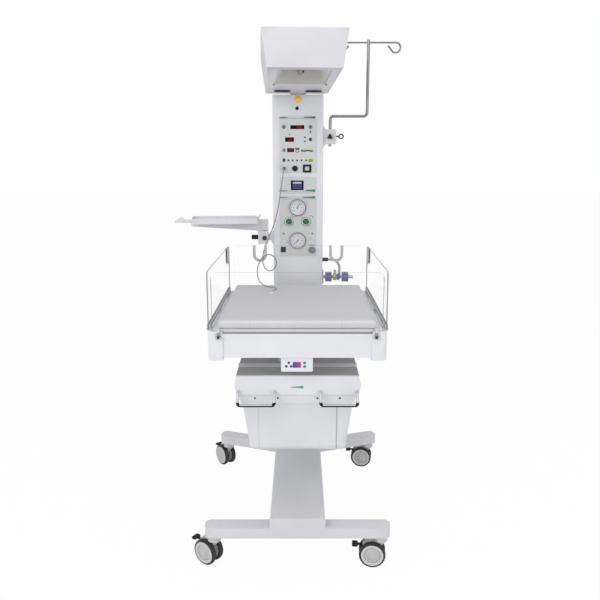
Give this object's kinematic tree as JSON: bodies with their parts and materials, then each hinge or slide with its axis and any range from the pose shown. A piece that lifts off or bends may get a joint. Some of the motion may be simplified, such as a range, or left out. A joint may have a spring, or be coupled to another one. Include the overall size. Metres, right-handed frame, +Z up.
{
  "type": "infant radiant warmer",
  "caption": "Open infant care bed on a castor base: tilting mattress deck with fold-down clear panels, control column, swivelling heater hood, drawer, shelf and drip pole.",
  "frame": {"origin": "middle of the whole object's footprint, on the floor under the castor wheels", "axes": "+Z up, -Y towards the side where the nurse stands (drawer and front panel), +X to the nurse's right"},
  "size_m": [1.0181, 0.9654, 2.015],
  "materials": {
    "white_paint": "satin",
    "base_paint": "satin",
    "panel_plastic": "satin",
    "white_plastic": "satin",
    "clear_acrylic": "clear",
    "grey_trim": "matte",
    "mattress_cover": "soft",
    "stainless": "brushed",
    "chrome": "polished",
    "dark_rod": "satin",
    "black_plastic": "matte",
    "grey_plastic": "satin",
    "castor_wheel": "matte",
    "amber_lens": "glossy",
    "green_knob": "satin",
    "blue_knob": "satin",
    "reflector_metal": "polished",
    "heater_sheath": "matte",
    "dial_white": "satin",
    "gauge_glass": "clear",
    "needle_black": "matte",
    "gas_brass": "satin",
    "hose_rubber": "matte",
    "lead_grey": "matte",
    "probe_disc": "matte"
  },
  "bodies": {
    "root": {"base_frame": "base_paint", "column_shell": "white_paint", "column_back_cover": "white_paint", "control_modules": "panel_plastic", "alarm_lamp": "amber_lens", "hood_turret": "stainless", "rail_clamps": "white_paint", "gauge_dials": "dial_white", "gauge_lenses": "gauge_glass", "panel_fittings": "black_plastic", "bed_support": "white_paint", "cabinet_carcass": "white_paint", "cabinet_top_plate": "stainless", "gas_manifold": "gas_brass", "gas_hose": "hose_rubber", "probe_plug": "grey_plastic", "probe_lead": "lead_grey"},
    "hood": {"hood_shell": "white_plastic", "reflector": "reflector_metal", "heater_element": "heater_sheath"},
    "bed": {"bed_deck": "white_plastic", "corner_posts": "white_plastic", "mattress": "mattress_cover", "rear_panel": "clear_acrylic", "rear_trim": "grey_trim", "weight_display": "white_plastic", "panel_hinges": "stainless", "probe_tip": "probe_disc"},
    "left_gate": {"side_panel_left": "clear_acrylic", "side_trim_left": "grey_trim"},
    "right_gate": {"side_panel_right": "clear_acrylic", "side_trim_right": "grey_trim"},
    "front_gate": {"front_panel": "clear_acrylic", "front_clips": "grey_trim"},
    "drawer": {"drawer_front": "white_plastic", "storage_bin": "white_plastic", "drawer_handles": "chrome"},
    "monitor_shelf": {"shelf": "white_plastic"},
    "infusion_pole": {"iv_pole": "dark_rod"},
    "air_knob": {"flow_knob_left": "green_knob"},
    "suction_knob": {"flow_knob_right": "green_knob"},
    "rocker": {"rocker_switch": "black_plastic"},
    "shelf_screw": {"shelf_clamp_knob": "black_plastic"},
    "pole_screw": {"pole_clamp_knob": "black_plastic"},
    "valve_knob_left": {"manifold_knob_left": "blue_knob"},
    "valve_knob_right": {"manifold_knob_right": "blue_knob"},
    "airway_pointer": {"airway_needle": "needle_black"},
    "suction_pointer": {"suction_needle": "needle_black"},
    "castor_front_left": {"castor_front_left_housing": "grey_plastic"},
    "wheels_front_left": {"castor_front_left_wheels": "castor_wheel"},
    "pedal_front_left": {"castor_front_left_pedal": "black_plastic"},
    "castor_front_right": {"castor_front_right_housing": "grey_plastic"},
    "wheels_front_right": {"castor_front_right_wheels": "castor_wheel"},
    "pedal_front_right": {"castor_front_right_pedal": "black_plastic"},
    "castor_rear_left": {"castor_rear_left_housing": "grey_plastic"},
    "wheels_rear_left": {"castor_rear_left_wheels": "castor_wheel"},
    "pedal_rear_left": {"castor_rear_left_pedal": "black_plastic"},
    "castor_rear_right": {"castor_rear_right_housing": "grey_plastic"},
    "wheels_rear_right": {"castor_rear_right_wheels": "castor_wheel"},
    "pedal_rear_right": {"castor_rear_right_pedal": "black_plastic"}
  },
  "joints": [
    {"name": "hood_swivel", "type": "hinge", "parent": "root", "child": "hood", "pos_m": [0.054, 0.404, 1.79], "axis": [0, 0, 1], "range_deg": [-93.5, 45]},
    {"name": "bed_tilt", "type": "hinge", "parent": "root", "child": "bed", "pos_m": [0.054, -0.061, 0.785], "axis": [1, 0, 0], "range_deg": [-5, 8], "deforming": ["probe_lead"]},
    {"name": "left_panel_fold", "type": "hinge", "parent": "bed", "child": "left_gate", "pos_m": [-0.271, -0.061, 0.899], "axis": [0, -1, 0], "range_deg": [0, 180]},
    {"name": "right_panel_fold", "type": "hinge", "parent": "bed", "child": "right_gate", "pos_m": [0.379, -0.061, 0.899], "axis": [0, 1, 0], "range_deg": [0, 180]},
    {"name": "front_panel_fold", "type": "hinge", "parent": "bed", "child": "front_gate", "pos_m": [0.054, -0.446, 0.886], "axis": [1, 0, 0], "range_deg": [0, 110]},
    {"name": "drawer_slide", "type": "slide", "parent": "root", "child": "drawer", "axis": [0, -1, 0], "range_m": [0, 0.35]},
    {"name": "shelf_swivel", "type": "hinge", "parent": "root", "child": "monitor_shelf", "pos_m": [-0.107, 0.374, 1.148], "axis": [0, 0, 1], "range_deg": [-40, 40]},
    {"name": "pole_swivel", "type": "hinge", "parent": "root", "child": "infusion_pole", "pos_m": [0.199, 0.374, 1.6], "axis": [0, 0, 1], "range_deg": [-45, 90]},
    {"name": "air_flow_turn", "type": "hinge", "parent": "root", "child": "air_knob", "pos_m": [0.012, 0.334, 1.222], "axis": [0, -1, 0], "range_deg": [0, 270]},
    {"name": "suction_flow_turn", "type": "hinge", "parent": "root", "child": "suction_knob", "pos_m": [0.09, 0.334, 1.222], "axis": [0, -1, 0], "range_deg": [0, 270]},
    {"name": "switch_rock", "type": "hinge", "parent": "root", "child": "rocker", "pos_m": [0.095, 0.346, 1.461], "axis": [1, 0, 0], "range_deg": [-12, 0]},
    {"name": "shelf_screw_turn", "type": "hinge", "parent": "root", "child": "shelf_screw", "pos_m": [-0.131, 0.374, 1.146], "axis": [-1, 0, 0], "range_deg": [0, 360]},
    {"name": "pole_screw_turn", "type": "hinge", "parent": "root", "child": "pole_screw", "pos_m": [0.197, 0.353, 1.6], "axis": [0, -1, 0], "range_deg": [0, 360]},
    {"name": "left_valve_turn", "type": "hinge", "parent": "root", "child": "valve_knob_left", "pos_m": [0.197, 0.374, 0.96], "axis": [1, 0, 0], "range_deg": [0, 270]},
    {"name": "right_valve_turn", "type": "hinge", "parent": "root", "child": "valve_knob_right", "pos_m": [0.275, 0.374, 0.96], "axis": [1, 0, 0], "range_deg": [0, 270]},
    {"name": "airway_pointer_turn", "type": "hinge", "parent": "root", "child": "airway_pointer", "pos_m": [0.052, 0.339, 1.286], "axis": [0, 1, 0], "range_deg": [-160, 110]},
    {"name": "suction_pointer_turn", "type": "hinge", "parent": "root", "child": "suction_pointer", "pos_m": [0.052, 0.339, 1.135], "axis": [0, 1, 0], "range_deg": [0, 270]},
    {"name": "front_left_swivel", "type": "hinge", "parent": "root", "child": "castor_front_left", "pos_m": [-0.258, -0.45, 0.1246], "axis": [0, 0, 1], "continuous": true},
    {"name": "front_left_roll", "type": "hinge", "parent": "castor_front_left", "child": "wheels_front_left", "pos_m": [-0.28339, -0.43222, 0.05], "axis": [0.5736, 0.8192, 0], "continuous": true},
    {"name": "front_left_brake", "type": "hinge", "parent": "castor_front_left", "child": "pedal_front_left", "pos_m": [-0.30551, -0.41673, 0.08], "axis": [-0.5736, -0.8192, 0], "range_deg": [0, 18]},
    {"name": "front_right_swivel", "type": "hinge", "parent": "root", "child": "castor_front_right", "pos_m": [0.366, -0.45, 0.1246], "axis": [0, 0, 1], "continuous": true},
    {"name": "front_right_roll", "type": "hinge", "parent": "castor_front_right", "child": "wheels_front_right", "pos_m": [0.33512, -0.4473, 0.05], "axis": [0.0872, 0.9962, 0], "continuous": true},
    {"name": "front_right_brake", "type": "hinge", "parent": "castor_front_right", "child": "pedal_front_right", "pos_m": [0.30822, -0.44494, 0.08], "axis": [-0.0872, -0.9962, 0], "range_deg": [0, 18]},
    {"name": "rear_left_swivel", "type": "hinge", "parent": "root", "child": "castor_rear_left", "pos_m": [-0.292, 0.374, 0.1246], "axis": [0, 0, 1], "continuous": true},
    {"name": "rear_left_roll", "type": "hinge", "parent": "castor_rear_left", "child": "wheels_rear_left", "pos_m": [-0.31109, 0.39843, 0.05], "axis": [0.788, 0.6157, 0], "continuous": true},
    {"name": "rear_left_brake", "type": "hinge", "parent": "castor_rear_left", "child": "pedal_rear_left", "pos_m": [-0.32771, 0.4197, 0.08], "axis": [-0.788, -0.6157, 0], "range_deg": [0, 18]},
    {"name": "rear_right_swivel", "type": "hinge", "parent": "root", "child": "castor_rear_right", "pos_m": [0.4, 0.374, 0.1246], "axis": [0, 0, 1], "continuous": true},
    {"name": "rear_right_roll", "type": "hinge", "parent": "castor_rear_right", "child": "wheels_rear_right", "pos_m": [0.3693, 0.37831, 0.05], "axis": [0.1392, 0.9903, 0], "continuous": true},
    {"name": "rear_right_brake", "type": "hinge", "parent": "castor_rear_right", "child": "pedal_rear_right", "pos_m": [0.34256, 0.38207, 0.08], "axis": [-0.1392, -0.9903, 0], "range_deg": [0, 18]}
  ]
}
